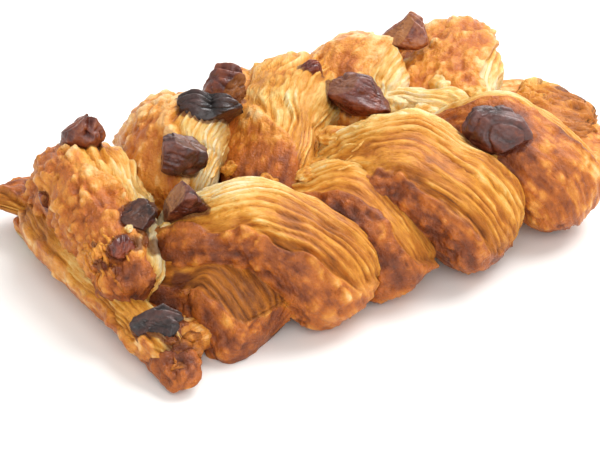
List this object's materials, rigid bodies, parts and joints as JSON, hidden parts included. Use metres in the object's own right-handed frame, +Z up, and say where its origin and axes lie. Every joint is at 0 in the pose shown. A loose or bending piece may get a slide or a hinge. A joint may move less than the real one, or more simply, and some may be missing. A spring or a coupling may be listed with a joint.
{
  "type": "braided pastry loaf",
  "caption": "Plaited laminated pastry loaf with slanting folded strips along both sides, a flat underside and glazed pecan pieces pressed into its top.",
  "frame": {"origin": "under the middle of the bounding box, on the surface that the loaf rests on", "axes": "+X along the plait, from the end where a strip crosses it to the end with the open flap; +Y across it, towards the row of strips that is farther from the crisp corner; +Z up"},
  "size_m": [0.1544, 0.0914, 0.0387],
  "materials": {
    "crust": "baked, egg-washed pastry: satin, flaky along the cut layers and glossier on the brown skin",
    "pecan": "roasted pecan in a thin sugar glaze, glossy"
  },
  "bodies": {
    "root": {"loaf": "crust", "pecan_end_far": "pecan", "pecan_end_chip": "pecan", "pecan_valley_chip": "pecan", "pecan_corner": "pecan", "pecan_near_block": "pecan", "pecan_near_upright": "pecan", "pecan_valley_end": "pecan", "pecan_crest_black": "pecan", "pecan_crest_back": "pecan", "pecan_far_chip": "pecan", "pecan_valley_plate": "pecan", "pecan_near_last": "pecan", "pecan_far_roof": "pecan"}
  },
  "joints": []
}
